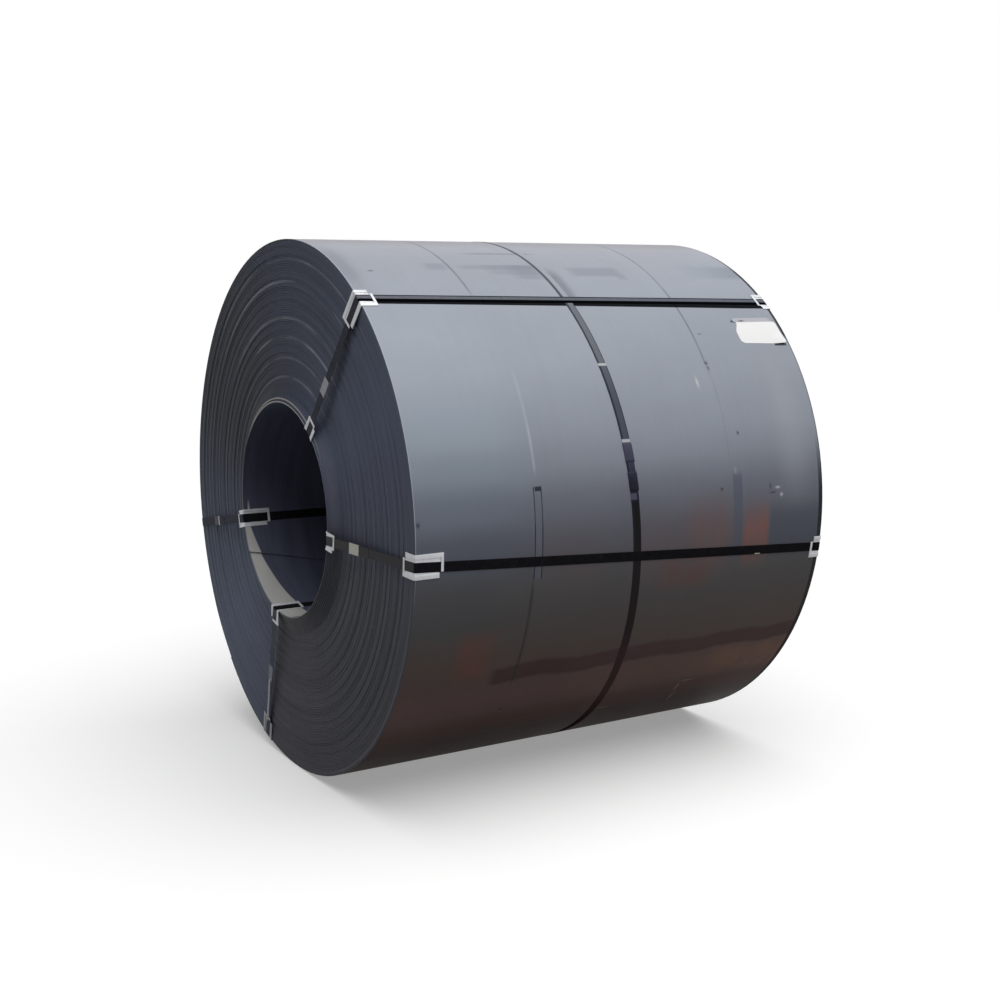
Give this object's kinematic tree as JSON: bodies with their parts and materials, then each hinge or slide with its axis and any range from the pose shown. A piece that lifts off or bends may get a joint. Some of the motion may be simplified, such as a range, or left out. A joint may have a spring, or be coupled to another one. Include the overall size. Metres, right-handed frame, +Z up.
{
  "type": "steel coil",
  "caption": "Hot rolled steel strip wound into a coil lying on its side, with a round eye along its axis, steel straps and seals, folded edge guards and a plain label.",
  "frame": {"origin": "on the floor under the middle of the coil: the bottom centre of its box", "axes": "+X along the coil axis, from the end with the proud eye to the other end; +Z up; -Y is the side with the label and the body strap's seals"},
  "size_m": [1.6874, 1.8931, 1.8913],
  "materials": {
    "mill_scale_steel": "satin",
    "strap_steel": "satin",
    "seal_steel": "satin",
    "guard_steel": "gloss",
    "label_paper": "matte"
  },
  "bodies": {
    "root": {"coil": "mill_scale_steel", "belly_strap": "strap_steel", "eye_strap_1": "strap_steel", "eye_strap_2": "strap_steel", "eye_strap_3": "strap_steel", "eye_strap_4": "strap_steel", "belly_seal_1": "strap_steel", "belly_seal_2": "strap_steel", "eye_seal_1": "seal_steel", "eye_seal_2": "seal_steel", "eye_seal_3": "seal_steel", "eye_seal_4": "seal_steel", "rim_guard_near_1": "guard_steel", "rim_guard_near_2": "guard_steel", "rim_guard_near_3": "guard_steel", "rim_guard_far_1": "guard_steel", "rim_guard_far_2": "guard_steel", "rim_guard_far_3": "guard_steel", "rim_guard_far_4": "guard_steel", "eye_guard_near_1": "guard_steel", "eye_guard_near_2": "guard_steel", "eye_guard_near_3": "guard_steel", "eye_guard_near_4": "guard_steel", "eye_guard_far_1": "guard_steel", "eye_guard_far_2": "guard_steel", "eye_guard_far_3": "guard_steel", "eye_guard_far_4": "guard_steel", "label": "label_paper"}
  },
  "joints": []
}
